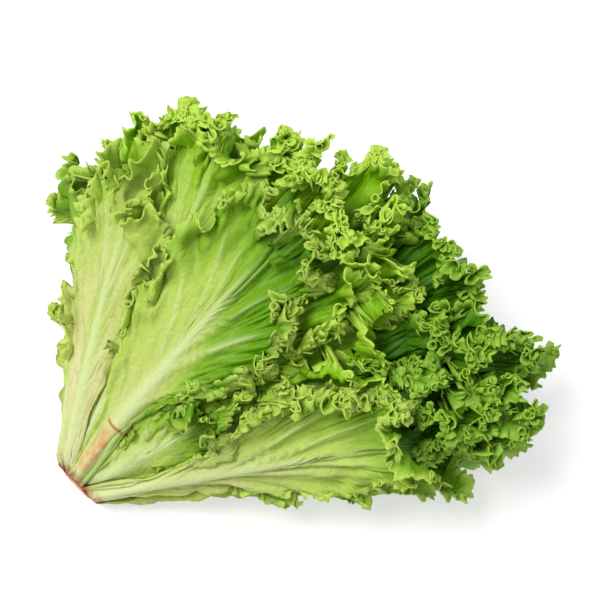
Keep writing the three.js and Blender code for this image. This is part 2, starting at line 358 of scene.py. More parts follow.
def frill(leaf, line, p, v, rise, along, normal, amount):
    rng = np.random.default_rng((leaf["seed"], 1))
    base = along_margin(leaf, "plain", line, run_length(p[-1]))
    rim = leaf["rulers"]["plain"][1][-1]
    share = base / rim
    swings, phases, onsets = [], [], []
    stretch = np.ones_like(base)
    for wave, swing, start in WAVES:
        knots = rim / (0.9 * wave)
        swings.append(amount * swing * (1 + 0.35 * wander(rng, share, knots)))
        onsets.append(1 - start * leaf["wave_depth"] / leaf["deep"] * (1 + 0.3 * wander(rng, share, knots)))
        stretch = stretch / bessel(swings[-1])
    s = along_margin(leaf, "frilled", line, np.cumsum(np.diff(base, prepend=0) * stretch))
    full = leaf["rulers"]["frilled"][1][-1]
    for wave, swing, start in WAVES:
        noise = wander(rng, share, full / (2.0 * wave))
        depth = field(rng, share + 0 * v, v, full / (1.5 * wave), 7)
        phases.append(2 * math.pi * (s / wave + 0.5 * noise + 0.7 * depth + rng.uniform()))
    result = p + normal * rise[..., None]
    for i in range(p.shape[0]):
        theta = np.zeros_like(base)
        j = np.ones_like(base)
        for k in range(len(WAVES)):
            a = swings[k] * np.clip((v[i] - onsets[k]) / (1 - onsets[k]), 0, 1) ** 1.2
            theta += a * np.sin(phases[k][i])
            j *= bessel(a)
        if not theta.any():
            continue
        row = run_length(p[i])
        step = np.diff(row, prepend=0)
        up = settle(np.cumsum(np.sin(theta) / j * step), row, 0.9 * WAVES[0][0])
        side = settle(np.cumsum((np.cos(theta) / j - 1) * step), row, 0.9 * WAVES[0][0])
        result[i] += normal[i] * up[:, None] + along[i] * side[:, None]
    return result


for wave, swing, start in WAVES:
    print("waves", wave, "mm long make the margin", round(1 / bessel(swing), 2), "times longer")

# %% The band falls over, and its edge is toothed
FALL = dict(spread=36, depth=40, spacing=24)  # degrees, mm from the margin, mm along it
CURL = dict(spread=28, depth=8, spacing=7)
CURL_MEAN = 15
TEETH = ((6.5, 2.8, 8), (3.4, 1.8, 4))  # spacing, height and the depth they fade out over, in mm


def flop(leaf, key, line, p, v, frames, mean, spread, depth, spacing):
    """Turn the band near the margin outwards, by mean degrees give or take spread."""
    rng = np.random.default_rng((leaf["seed"], len(key)))
    along, out, normal = frames
    s = along_margin(leaf, key, line, run_length(p[-1]))
    full = leaf["rulers"][key][1][-1]
    angle = np.radians(mean + spread * wander(rng, s / full, full / spacing))
    result = p.copy()
    bend = angle * smooth(v, 1 - depth / leaf["deep"], 1.0)
    for i in range(1, p.shape[0]):
        step = p[i] - p[i - 1]
        side = out[i - 1]
        size = (step * side).sum(-1)
        keep = step - side * size[..., None]
        turned = side * np.cos(bend[i])[..., None] + normal[i - 1] * np.sin(bend[i])[..., None]
        result[i] = result[i - 1] + keep + turned * size[..., None]
    return result, normal * np.cos(bend)[..., None] - out * np.sin(bend)[..., None]


def teeth(leaf, line, p, v):
    rng = np.random.default_rng((leaf["seed"], 2))
    s = along_margin(leaf, "curled rim", line, run_length(p[-1]))
    full = leaf["rulers"]["curled rim"][1][-1]
    share = s / full
    out = local_frame(p)[1]
    size = 0.0
    for wave, tall, start in TEETH:
        f = (s / wave + 0.7 * wander(rng, share, full / (1.3 * wave))) % 1.0
        point = np.where(f < 0.6, f / 0.6, (1 - f) / 0.4) ** 1.6
        vary = 0.7 + 0.6 * wander(rng, share, full / (1.1 * wave))
        size = size + tall * point * vary * np.clip(1 - (1 - v) * leaf["deep"] / start, 0, 1)
    return p + out * size[..., None]


def grow(leaf, u, v, us, free):
    """One leaf from smooth surface to teeth, on any choice of columns."""
    line = u[-1]
    p, length, q, normal = leaf_surface(leaf, u, v)
    rise, vein = ribs(leaf, p, u, v, length, q)
    amount = per_side(leaf["frill"], line) * (0.5 + 0.5 * np.interp(line, us, free))
    fade = v * smooth(1 - np.abs(u), 0.02, 0.35)
    frames = local_frame(leaf_surface(leaf, u, v, lobes=False)[0])
    p, normal = flop(leaf, "flopped", line, p, fade, frames, per_side(leaf["flop"], line), **FALL)
    p = frill(leaf, line, p, fade, rise, frames[0], normal, amount)
    p, normal = flop(leaf, "curled", line, p, fade, local_frame(p), CURL_MEAN, **CURL)
    return teeth(leaf, line, p, fade), vein, length, q


print("the band falls over", FALL["depth"], "mm of the leaf, the curls over its last", CURL["depth"], "mm")

# %% [markdown]
# ## Room between the leaves
# In the real head the leaves press on each other but never cross. Blender has no tool that parts thirty-
# five folded sheets, and a simulation of them would take hours. The cones make it easy: a coarse map over r
# and phi keeps the shell of every leaf already placed, and the next leaf is held above the ground that the
# inner leaves give it and below the roof of the outer ones. That parts the blades. The map is too coarse
# for the curls, which still run into each other inside the crown.

# %% Maps of what lies below and above
R_STEP, A_STEP = 5.0, 4.0  # mm along a leaf, degrees round the head
R_CELLS, A_CELLS = 56, 90
NO_GROUND, NO_ROOF = -1.0, 9.0  # shells far inside and far outside the head
GROUND_GAP, ROOF_GAP, GIVE = 0.02, 0.03, 0.04  # in shells, the last for how softly a leaf is stopped


def cells(r, phi):
    i = np.clip((r / R_STEP).astype(int), 0, R_CELLS - 1)
    j = (np.degrees(phi) / A_STEP).astype(int) % A_CELLS
    return i, j


def spread(m, pick):
    """Carry each cell's value to its neighbours, so that no edge slips between two cells."""
    m = pick(m, pick(np.roll(m, 1, 1), np.roll(m, -1, 1)))
    up = np.vstack([m[1:], m[-1:]])
    down = np.vstack([m[:1], m[:-1]])
    return pick(m, pick(up, down))


def coverage(leaf):
    u, v = np.meshgrid(np.linspace(-1, 1, 161), np.linspace(0, 0.85, 30))
    shell, r, phi = off_cone(leaf_surface(leaf, u, v)[0])
    m = np.full((R_CELLS, A_CELLS), NO_GROUND)
    np.maximum.at(m, cells(r, phi), shell)
    return spread(m, np.maximum)


def keep_apart(p, ground, roof):
    """Hold a leaf over those inside it, under those outside, off the table and behind the cut."""
    shell, r, phi = off_cone(p)
    i, j = cells(r, phi)
    low = ground[i, j] + GROUND_GAP
    high = roof[i, j] - ROOF_GAP
    lifted = low + GIVE * np.exp(np.minimum(0, (shell - low - GIVE) / GIVE))
    over = np.where((low > 0) & (shell < low + GIVE), lifted, shell)
    pressed = high - GIVE * np.exp(-np.maximum(0, over - high + GIVE) / GIVE)
    over = np.where(over > high - GIVE, pressed, over)
    p = np.where((over != shell)[..., None], on_cone(over, r, phi), p)
    above = np.maximum(0, p[..., 2] - CROWN_TOP)
    p[..., 2] += CROWN_GIVE * (1 - np.exp(-above / CROWN_GIVE)) - above
    p[..., 2] = np.maximum(p[..., 2], TABLE_CLEARANCE)
    p[..., 0] = np.maximum(p[..., 0], BASE_TRIM)
    return p


print("the map has", R_CELLS * A_CELLS, "cells of", R_STEP, "mm by", A_STEP, "degrees")

# %% [markdown]
# ## A flat sheet with its faces where they are needed
# The frill needs a corner every millimetre or so, the broad blade hardly any. Subdividing the whole sheet
# finely would cost millions of faces, and Decimate would flatten the small curls. So a grid is added with
# all its columns, and the edges that a row can do without are dissolved, half at a time, from the frill in
# to the midrib. Its lowest row is then folded onto itself and merged, because both halves of the leaf meet
# at the midrib.

# %% Dissolve and merge a grid
FRILL_ROWS = [0, 0.15, 0.3, 0.42, 0.52, 0.60, 0.67, 0.73, 0.785, 0.83, 0.868, 0.9, 0.93, 0.958, 0.98, 1]
FRILL_STEPS = [16] * 3 + [8] * 2 + [4] * 3 + [2] * 3 + [1] * 4
BLADE_ROWS = [0, 0.05, 0.1, 0.16, 0.22, 0.28, 0.34, 0.4, 0.46, 0.53] + FRILL_ROWS[5:]
BLADE_STEPS = [8] * 10 + [4] * 3 + [2] * 3 + [1] * 4
LAYOUTS = {"frill": (FRILL_ROWS, FRILL_STEPS), "blade": (BLADE_ROWS, BLADE_STEPS)}


def corners_of(mesh):
    co = np.empty(len(mesh.vertices) * 3, np.float32)
    mesh.vertices.foreach_get("co", co)
    return co.reshape(-1, 3)


def dissolve_columns(mesh, steps, columns):
    ends = np.empty(len(mesh.edges) * 2, int)
    mesh.edges.foreach_get("vertices", ends)
    row, column = np.divmod(ends.reshape(-1, 2), columns + 1)
    step = np.array(steps)[np.minimum(row.min(1), len(steps) - 1)]
    extra = (column[:, 0] == column[:, 1]) & (column[:, 0] % step != 0)
    bpy.ops.object.mode_set(mode="EDIT")
    bpy.ops.mesh.select_mode(type="EDGE")
    bpy.ops.mesh.select_all(action="DESELECT")
    bpy.ops.object.mode_set(mode="OBJECT")
    mesh.edges.foreach_set("select", extra)
    bpy.ops.object.mode_set(mode="EDIT")
    bpy.ops.mesh.dissolve_edges(use_verts=True)
    bpy.ops.object.mode_set(mode="OBJECT")


def fold_midrib(mesh, steps, columns):
    co = corners_of(mesh)
    seam = co[:, 1] < -0.5 + 0.25 / len(steps)
    co[seam, 0] = np.abs(co[seam, 0])
    mesh.vertices.foreach_set("co", co.reshape(-1))
    bpy.ops.object.mode_set(mode="EDIT")
    bpy.ops.mesh.select_all(action="SELECT")
    bpy.ops.mesh.remove_doubles(threshold=0.2 / columns)
    bpy.ops.object.mode_set(mode="OBJECT")


def flat_sheet(name, steps, columns):
    """The sheet, and the row and column of each of its corners."""
    bpy.ops.object.select_all(action="DESELECT")
    bpy.ops.mesh.primitive_grid_add(x_subdivisions=columns, y_subdivisions=len(steps), size=1)
    sheet = bpy.context.object
    sheet.name = "flat_" + name
    dissolve_columns(sheet.data, steps, columns)
    fold_midrib(sheet.data, steps, columns)
    co = corners_of(sheet.data)
    row = np.rint((co[:, 1] + 0.5) * len(steps)).astype(int)
    column = np.rint((co[:, 0] + 0.5) * columns).astype(int)
    print("flat sheet", name, "has", len(co), "corners and", len(sheet.data.polygons), "faces")
    return sheet, (row, column)


print("rows from midrib to margin:", {name: len(rows) for name, (rows, steps) in LAYOUTS.items()})

# %% [markdown]
# ## Shaping one leaf
# Each leaf is grown twice. The first pass uses thousands of even columns and measures how long the frilled
# margin gets and which stretches of it lie open. The second pass spends its columns there, and leaves the
# covered margins coarser. The points then go into a copy of the flat sheet, with the masks its finish will
# read, and Solidify gives the blade its half millimetre. The leaf could also be sculpted, but only once:
# this way all thirty-five come from one description.

# %% Columns where the margin is long and in the open
COLUMN_STEP = 1.46  # mm of open margin for each column
FIRST_COLUMNS = 6000


def seen_margin(leaf, roof):
    """1 where the margin lies on top and uncovered, less where other leaves or the table hide it."""
    u = np.linspace(-1, 1, 401)[None, :]
    p = leaf_surface(leaf, u, np.array([[0.8], [0.9], [1.0]]) + 0 * u)[0]
    shell, r, phi = off_cone(p)
    i, j = cells(r, phi)
    free = np.where(roof[i, j] == NO_ROOF, 1.0, 0.0) * np.where(np.sin(phi) > -0.35, 1.0, 0.45)
    free = free.max(0)
    free = np.max([np.roll(free, shift) for shift in (-12, -6, 0, 6, 12)], axis=0)
    kernel = np.hanning(25)
    return u[0], np.convolve(np.pad(free, 12, mode="edge"), kernel / kernel.sum(), "valid")


def choose_columns(leaf, rows, us, free):
    u = np.interp(np.linspace(0, 1, FIRST_COLUMNS + 1), np.linspace(0, 1, len(us)), us)
    v = np.array(rows)[:, None] + 0 * u
    rim = run_length(grow(leaf, u + 0 * v, v, us, free)[0][-1])
    dense = np.gradient(rim) / np.gradient(u) * (0.25 + 0.75 * np.interp(u, us, free))
    dense *= 0.25 + 0.75 * smooth(1 - np.abs(u), 0.0, 0.4)
    kernel = np.hanning(9)
    dense = np.convolve(np.pad(dense, 4, mode="edge"), kernel / kernel.sum(), "valid") + 0.15 * dense.mean()
    sums = np.concatenate([[0], np.cumsum((dense[1:] + dense[:-1]) / 2 * np.diff(u))])
    columns = 64 * max(4, round(sums[-1] / COLUMN_STEP * leaf["fine"] / 64))
    return columns, np.interp(np.linspace(0, sums[-1], columns + 1), sums, u)


print("a column for each", COLUMN_STEP, "mm of open margin")

# %% The second pass, and the copy of the sheet that takes it
BLADE_THICKNESS = 0.55


def leaf_points(leaf, ground, roof):
    rows, steps = LAYOUTS[leaf["sheet"]]
    us, free = seen_margin(leaf, roof)
    leaf["seen"] = free.mean()
    leaf["deep"] = (1 - VEIN_START) * leaf["reach"]
    leaf["rulers"] = {}
    columns, lopsided = choose_columns(leaf, rows, us, free)
    even = (lopsided - lopsided[::-1]) / 2
    v = np.array(rows)[:, None] + 0 * even
    u = even + (lopsided - even) * smooth(v, 0.0, 0.45)
    p, vein, length, q = grow(leaf, u, v, us, free)
    p = keep_apart(p, ground, roof)
    # ripeness by length and towards the margin, shifted by tone; on outer_leaf_1's plus side the shift is
    # painted shade
    ripeness_and_painted_shade = 0.65 * length / leaf["reach"] + 0.35 * v + per_side(leaf["tone"], u) * smooth(v, 0.1, 0.5)
    marks = {"rim": v, "vein": vein, "ripeness_and_painted_shade": ripeness_and_painted_shade, "across": q * MM, "along": length * MM + leaf["seed"]}
    return columns, p, v, marks


def roof_under(p, v):
    """What a finished leaf leaves free below itself."""
    inner = v < 0.8
    shell, r, phi = off_cone(p)
    own = np.full((R_CELLS, A_CELLS), NO_ROOF)
    np.minimum.at(own, cells(r[inner], phi[inner]), shell[inner])
    return spread(own, np.minimum)


def shaped_copy(name, sheet, place, p, marks):
    piece = sheet.copy()
    piece.data = sheet.data.copy()
    piece.name = piece.data.name = name
    bpy.context.collection.objects.link(piece)
    bpy.ops.object.select_all(action="DESELECT")
    piece.select_set(True)
    bpy.context.view_layer.objects.active = piece
    spots = (p[place] + np.array([cut_x, cut_y, 0.0])) * MM
    piece.data.vertices.foreach_set("co", spots.reshape(-1).astype(np.float32))
    for key, values in marks.items():
        data = values[place].astype(np.float32)
        piece.data.attributes.new(key, "FLOAT", "POINT").data.foreach_set("value", data)
    piece.data.flip_normals()
    piece.data.update()
    return piece


def thicken(piece):
    blade = piece.modifiers.new("blade", "SOLIDIFY")
    blade.thickness = BLADE_THICKNESS * MM
    blade.offset = -1
    bpy.ops.object.modifier_apply(modifier=blade.name)
    bpy.ops.object.shade_smooth()


print("blades are", BLADE_THICKNESS, "mm thick")

# %% [markdown]
# ## The leaves of this head
# Nine outer leaves hold the shape, fourteen middle ones make the thick frill on top, and twelve small ones
# fill the heart. A leaf is given by its shell, the turn of its midrib (90 on top), how it leans, its reach
# from the meeting point in millimetres, the half widths of its two sides and the curl of its end in
# degrees. The outermost leaves of the real head have little frill and broad smooth blades, so a few of them
# get their own ribs, pleats and colour.

# %% Table of leaves, outermost first
OUTER = [
    ("outer_leaf_1", 1.0, 90, 0, 174, (40, 38), 50),
    ("outer_leaf_2", 1.0, 152, 0, 184, (38, 24), 45),
    ("outer_leaf_3", 0.95, 44, 0, 166, (30, 24), 45),
    ("outer_leaf_4", 0.92, 124, 0, 92, (20, 26), 30),
    ("outer_leaf_5", 0.92, 12, -0.08, 160, (33, 33), 8),
    ("outer_leaf_6", 0.97, 204, 0, 206, (26, 30), 4),
    ("outer_leaf_7", 0.98, 236, 0.02, 176, (34, 38), -4),
    ("outer_leaf_8", 0.98, 275, 0, 190, (42, 42), -4),
    ("outer_leaf_9", 0.98, 314, 0.04, 162, (33, 22), -4),
]
MIDDLE = [
    (0.88, 65, 0, 190, 33, 50), (0.86, 101, 0, 195, 30, 55), (0.85, 138, 0, 164, 32, 30),
    (0.81, 36, 0, 182, 34, 45), (0.82, 158, 0, 202, 34, 45), (0.79, 168, 0, 226, 34, 30),
    (0.84, 350, 0, 158, 30, 25), (0.84, 202, 0, 222, 34, 5), (0.79, 250, 0, 204, 40, 0),
    (0.79, 302, 0, 184, 38, 0), (0.8, 83, 0, 206, 34, 55), (0.77, 121, 0, 186, 32, 35),
    (0.75, 174, 0, 236, 34, 25), (0.73, 52, 0, 197, 36, 50),
]
HEART = [
    (0.72, 113, 0, 203, 32, 50), (0.7, 97, 0, 218, 38, 50), (0.68, 150, 0, 214, 34, 40),
    (0.66, 15, 0, 166, 34, 35), (0.65, 160, 0, 236, 34, 35), (0.62, 186, 0, 243, 34, 15),
    (0.6, 228, 0, 222, 38, 5), (0.6, 285, 0, 202, 38, 5), (0.57, 132, 0, 230, 36, 40),
    (0.46, 330, 0, 180, 34, 20), (0.36, 112, 0, 227, 34, 35), (0.3, 250, 0, 216, 30, 10),
]
leaves = list(OUTER)
for layer, rows in (("middle", MIDDLE), ("heart", HEART)):
    for k, row in enumerate(rows):
        leaves.append((f"{layer}_leaf_{k + 1}", *row[:4], (row[4], row[4]), row[5]))
print(len(leaves), "leaves, the longest reaching", max(row[4] for row in leaves) - APEX, "mm from the cut")

# %% How each leaf differs from the common one
# pairs are for the minus and the plus side of a leaf. frill and wave_depth scale the waves, flop is in
# degrees, pleats, blister and crease in mm, lobes a part of the leaf, ribs a count, and tone makes a side
# darker or paler. necks say how far up a side stays as narrow as the stalk, fine scales the columns.
COMMON = dict(frill=(1.0, 1.0), flop=(44, 44), lobes=0.15, ribs=(6, 6), pleats=(1.0, 1.0), tone=(0.0, 0.0))
COMMON.update(fine=1.0, sheet="frill", blister=3.2, crease=0.8, necks=(0, 0), wave_depth=1.0)
UNDERNEATH = dict(frill=(0.75, 0.75), fine=0.5, flop=(10, 10))  # pressed flat, out of sight
HEART_LEAF = dict(wave_depth=1.1, blister=4.2, crease=1.1)  # crowded, so more crumpled
BROAD = dict(frill=(0.65, 0.75), flop=(15, 25), lobes=0.22, tone=(-0.36, -0.3))  # wide and pale
ON_TOP = dict(ribs=(5, 6), pleats=(0.8, 3.0), frill=(0.65, 1.0), flop=(15, 45), lobes=0.22)
AT_THE_SIDE = dict(ribs=(6, 4), pleats=(3.5, 2.0), frill=(1.0, 0.55), flop=(42, 20))
OWN = {
    # its plus side is darker by tone: painted shade of its pleated fan
    "outer_leaf_1": dict(ON_TOP, necks=(0, 0.3), tone=(-0.1, 0.3)),
    "outer_leaf_2": dict(AT_THE_SIDE, necks=(0.3, 0), tone=(-0.05, -0.22)),
    "outer_leaf_3": BROAD,
    "outer_leaf_4": dict(frill=(0.7, 0.7), flop=(35, 35), lobes=0.35),
    "outer_leaf_5": dict(BROAD, flop=(42, 42), tone=(-0.12, -0.08)),
    "outer_leaf_6": dict(frill=(0.8, 0.5), flop=(12, 8), fine=0.8),
    "outer_leaf_7": dict(frill=(0.8, 0.5), flop=(12, 8), fine=0.8),
    "middle_leaf_1": BROAD,
    "middle_leaf_3": dict(frill=(0.6, 0.6), flop=(30, 30)),
    "middle_leaf_4": BROAD,
    "middle_leaf_12": dict(frill=(0.8, 0.8), flop=(50, 50), blister=4.0),
}
SEEDS = {"heart_leaf_1": 41}  # the rest take theirs from their place in the table
SEEDS.update({f"heart_leaf_{k}": 32 + k for k in range(2, 9)})


def is_underneath(turn):
    return 195 < turn < 340


table = []
for k, (name, shell, turn, lean, reach, halves, curl) in enumerate(leaves):
    leaf = dict(COMMON, name=name, shell=shell, turn=turn, lean=lean, reach=reach, halves=halves, curl=curl)
    leaf["seed"] = SEEDS.get(name, 11 + k)
    if name.startswith("heart"):
        leaf.update(HEART_LEAF)
    if is_underneath(turn):
        leaf.update(UNDERNEATH)
    if k < 3:  # these show the whole blade
        leaf.update(sheet="blade", blister=1.2, fine=0.76)
    leaf.update(OWN.get(name, {}))
    if name.startswith("heart") or name in ("middle_leaf_11", "middle_leaf_14"):
        leaf["fine"] *= 0.8
    table.append(leaf)
print(sum(is_underneath(leaf["turn"]) for leaf in table), "leaves lie underneath and need fewer faces")

# %% [markdown]
# ## Colours and nodes
# A colour is written as it would be picked on a screen, and one function makes it the linear value Blender
# mixes with. Nodes could be placed by hand in the Shader Editor. In a script one small helper does it: it
# adds a node, sets it and links its inputs.

# %% A colour, and a node


def srgb(text):
    value = [int(text[i:i + 2], 16) / 255 for i in (0, 2, 4)]
    return [c / 12.92 if c <= 0.04045 else ((c + 0.055) / 1.055) ** 2.4 for c in value] + [1.0]


def add(tree, kind, links=None, stops=(), **settings):
    """Add one node: its inputs in links, a ramp's colours in stops, everything else by name."""
    node = tree.nodes.new(kind)
    for key, value in settings.items():
        setattr(node, key, value)
    for key, value in (links or {}).items():
        if isinstance(value, bpy.types.NodeSocket):
            tree.links.new(value, node.inputs[key])
        else:
            node.inputs[key].default_value = value
    for place, colour in stops[1:-1]:
        node.color_ramp.elements.new(place)
    for k, (place, colour) in enumerate(stops):
        node.color_ramp.elements[k].position = place
        node.color_ramp.elements[k].color = srgb(colour)
    return node


print("a fresh green in linear light:", [round(c, 3) for c in srgb("8eba28")])

# %% [markdown]
# ## The finish of a lettuce leaf
# A lettuce blade is a thin, wet, living skin over pale tissue. White at the base, it turns yellow-green
# along the ribs and deep green towards the frill, whose edge is light again, partly from its paler tissue
# and partly as a painted highlight. A net of fine veins covers it, light comes through it, and where the
# knife or a broken leaf has bared the tissue, it has dried to a rusty brown. An image could be wrapped
# round it, but it would blur in the curls. The masks stored on each leaf carry all of this to any scale.

# %% Lettuce blade: green tissue in a net of veins
# gives the eye: green that deepens towards the frill, pale ribs and a light edge that is partly painted
# highlight
BLOTCH = 22.0  # mm, slow changes of green
NET = (3.5, 6.0)  # mm, meshes of the vein net across and along the leaf
VEIN_PALE, VEIN_NET = "d4e1a2", "6b9a1c"


def green_tissue(tree, marks, spot, stops, rim):
    # green by ripeness, a little blotched, with the painted shade that tone puts on the plus side of
    # outer_leaf_1
    blotch = {"Vector": spot, "Scale": 1000 / BLOTCH, "Detail": 3.0}
    blotch = add(tree, "ShaderNodeTexNoise", blotch).outputs["Fac"]
    shift = add(tree, "ShaderNodeMath", {0: blotch, 1: 0.22, 2: -0.11}, operation="MULTIPLY_ADD").outputs[0]
    tint = add(tree, "ShaderNodeMath", {0: marks["ripeness_and_painted_shade"], 1: shift}, operation="ADD").outputs[0]
    colour = add(tree, "ShaderNodeValToRGB", {"Fac": tint}, stops).outputs["Color"]
    # the net of veins, its meshes drawn out along the leaf and slightly bent
    flat = add(tree, "ShaderNodeCombineXYZ", {"X": marks["across"], "Y": marks["along"]}).outputs[0]
    meshes = (1000 / NET[0], 1000 / NET[1], 1.0)
    sized = add(tree, "ShaderNodeMapping", {"Vector": flat, "Scale": meshes}).outputs[0]
    warp = add(tree, "ShaderNodeTexNoise", {"Vector": sized, "Scale": 0.7, "Detail": 2.0}).outputs["Color"]
    bent = {0: warp, 1: (1.6, 1.6, 0.0), 2: sized}
    bent = add(tree, "ShaderNodeVectorMath", bent, operation="MULTIPLY_ADD").outputs[0]
    net = {"Vector": bent, "Scale": 1.0}
    cracks = dict(voronoi_dimensions="2D", feature="DISTANCE_TO_EDGE")
    net = add(tree, "ShaderNodeTexVoronoi", net, **cracks).outputs["Distance"]
    line = {"Value": net, "From Min": 0.0, "From Max": 0.10, "To Min": 0.2, "To Max": 0.0}
    line = add(tree, "ShaderNodeMapRange", line).outputs["Result"]
    colour = {"Factor": line, 6: colour, 7: srgb(VEIN_NET)}
    colour = add(tree, "ShaderNodeMix", colour, data_type="RGBA").outputs[2]
    # pale ribs, and a light edge that is partly the margin's paler tissue and partly painted highlight
    pale = add(tree, "ShaderNodeMath", {0: marks["vein"], 1: 0.8}, operation="MULTIPLY").outputs[0]
    colour = {"Factor": pale, 6: colour, 7: srgb(VEIN_PALE)}
    colour = add(tree, "ShaderNodeMix", colour, data_type="RGBA").outputs[2]
    edge = {"Value": marks["rim"], "From Min": 0.95, "From Max": 1.0, "To Min": 0.0, "To Max": 0.75}
    edge = add(tree, "ShaderNodeMapRange", edge).outputs["Result"]
    colour = {"Factor": edge, 6: colour, 7: srgb(rim)}
    return add(tree, "ShaderNodeMix", colour, data_type="RGBA").outputs[2], net


print("the vein net has meshes of", NET[0], "by", NET[1], "mm")

# %% Bared tissue, dried to cork
# gives the eye: a rusty strip on the midrib, closed off by a dark line, where another leaf was torn off
BARED, CORK = "dda262", "b06a30"
# each band: its lowest and highest value and the width of its soft ends, in metres, and its strength
SCAR_ACROSS, SCAR_ALONG = (-0.0045, 0.0030, 0.0015, 0.85), (0.005, 0.031, 0.004, 1.0)
CORK_ACROSS, CORK_ALONG = (-0.0058, 0.0058, 0.0015, 1.0), (0.0298, 0.0318, 0.0008, 0.9)


def torn_off(tree, marks, patchy, colour, seed):
    # the leaf's seed was added to its length, so that no two leaves share a net, and is taken off again
    length = {0: marks["along"], 1: seed + APEX * MM}
    length = add(tree, "ShaderNodeMath", length, operation="SUBTRACT").outputs[0]
    strips = ((SCAR_ACROSS, SCAR_ALONG, patchy, BARED), (CORK_ACROSS, CORK_ALONG, 1.0, CORK))
    for across, along, share, tint in strips:
        for value, (low, high, soft, top) in ((marks["across"], across), (length, along)):
            rise = {"Value": value, "From Min": low, "From Max": low + soft}
            rise = add(tree, "ShaderNodeMapRange", rise).outputs["Result"]
            fall = {"Value": value, "From Min": high - soft, "From Max": high, "To Min": top, "To Max": 0.0}
            fall = add(tree, "ShaderNodeMapRange", fall).outputs["Result"]
            band = add(tree, "ShaderNodeMath", {0: rise, 1: fall}, operation="MULTIPLY").outputs[0]
            share = add(tree, "ShaderNodeMath", {0: band, 1: share}, operation="MULTIPLY").outputs[0]
        colour = {"Factor": share, 6: colour, 7: srgb(tint)}
        colour = add(tree, "ShaderNodeMix", colour, data_type="RGBA").outputs[2]
    return colour


print("the scar is", round((SCAR_ALONG[1] - SCAR_ALONG[0]) / MM), "mm long")

# %% Lettuce blade: waxy skin, and light through it
# gives the eye: a soft sheen with a fine grain, and leaves that glow where they are lit from behind
DRY_PATCH = 3.8  # mm
SKIN_GRAIN = 1.7  # mm, coarser than real so that it shows
DRIED = "bc7040"
DRIED_BACK = (0.0006, 0.0042)  # m from the cut where drying starts to fade, and where it is gone


def leaf_material(name, stops, rim, scar_seed=None):
    mat = bpy.data.materials.new(name)
    mat.use_nodes = True
    tree = mat.node_tree
    base = tree.nodes["Principled BSDF"]
    marks = {}
    for key in ("rim", "vein", "ripeness_and_painted_shade", "across", "along"):
        marks[key] = add(tree, "ShaderNodeAttribute", attribute_name=key).outputs["Fac"]
    spot = add(tree, "ShaderNodeTexCoord").outputs["Object"]
    colour, net = green_tissue(tree, marks, spot, stops, rim)
    # tissue that was bared and dried, in patches
    patchy = {"Vector": spot, "Scale": 1000 / DRY_PATCH, "Detail": 4.0}
    patchy = add(tree, "ShaderNodeTexNoise", patchy).outputs["Fac"]
    patchy = {"Value": patchy, "From Min": 0.28, "From Max": 0.55}
    patchy = add(tree, "ShaderNodeMapRange", patchy).outputs["Result"]
    if scar_seed is not None:
        colour = torn_off(tree, marks, patchy, colour, scar_seed)
    place = add(tree, "ShaderNodeSeparateXYZ", {"Vector": spot}).outputs["X"]
    fade, gone = cut_x * MM + DRIED_BACK[0], cut_x * MM + DRIED_BACK[1]
    near = {"Value": place, "From Min": fade, "From Max": gone, "To Min": 1.0, "To Max": 0.0}
    near = add(tree, "ShaderNodeMapRange", near).outputs["Result"]
    dried = add(tree, "ShaderNodeMath", {0: near, 1: patchy}, operation="MULTIPLY").outputs[0]
    colour = {"Factor": dried, 6: colour, 7: srgb(DRIED)}
    colour = add(tree, "ShaderNodeMix", colour, data_type="RGBA").outputs[2]
    tree.links.new(colour, base.inputs["Base Color"])
    # waxy skin, grained between the veins
    base.inputs["Roughness"].default_value = 0.48
    base.inputs["Specular IOR Level"].default_value = 0.35
    grain = {"Vector": spot, "Scale": 1000 / SKIN_GRAIN, "Detail": 3.0}
    grain = add(tree, "ShaderNodeTexNoise", grain).outputs["Fac"]
    high = add(tree, "ShaderNodeMath", {0: net, 1: 1.4, 2: grain}, operation="MULTIPLY_ADD").outputs[0]
    bump = add(tree, "ShaderNodeBump", {"Height": high, "Strength": 0.5, "Distance": 0.0006}).outputs[0]
    tree.links.new(bump, base.inputs["Normal"])
    # light through the thin blade
    through = add(tree, "ShaderNodeBsdfTranslucent", {"Color": colour, "Normal": bump}).outputs[0]
    mixed = add(tree, "ShaderNodeMixShader", {0: 0.3, 1: base.outputs[0], 2: through}).outputs[0]
    tree.links.new(mixed, tree.nodes["Material Output"].inputs["Surface"])
    print("finish", name, "has", len(tree.nodes), "nodes")
    return mat


# %% Greens from base to tip
OUTER_GREENS = [(0, "e6dca8"), (0.3, "c4d270"), (0.5, "bad25a"), (0.7, "8eba28"), (1.0, "6aa40c")]
MIDDLE_GREENS = [(0, "dfe4a6"), (0.3, "bcd65c"), (0.5, "9ecd26"), (0.7, "88c014"), (1.0, "94ca18")]
# the heart greens are partly the leaves' own deeper green and partly painted shade, darkened halfway
# towards the shade on the side of the head turned from the light
HEART_GREENS_WITH_PAINTED_SHADE = [(0, "d6e29a"), (0.3, "9ac038"), (0.5, "629a0e"), (0.7, "4a8806"), (1.0, "548f0a")]
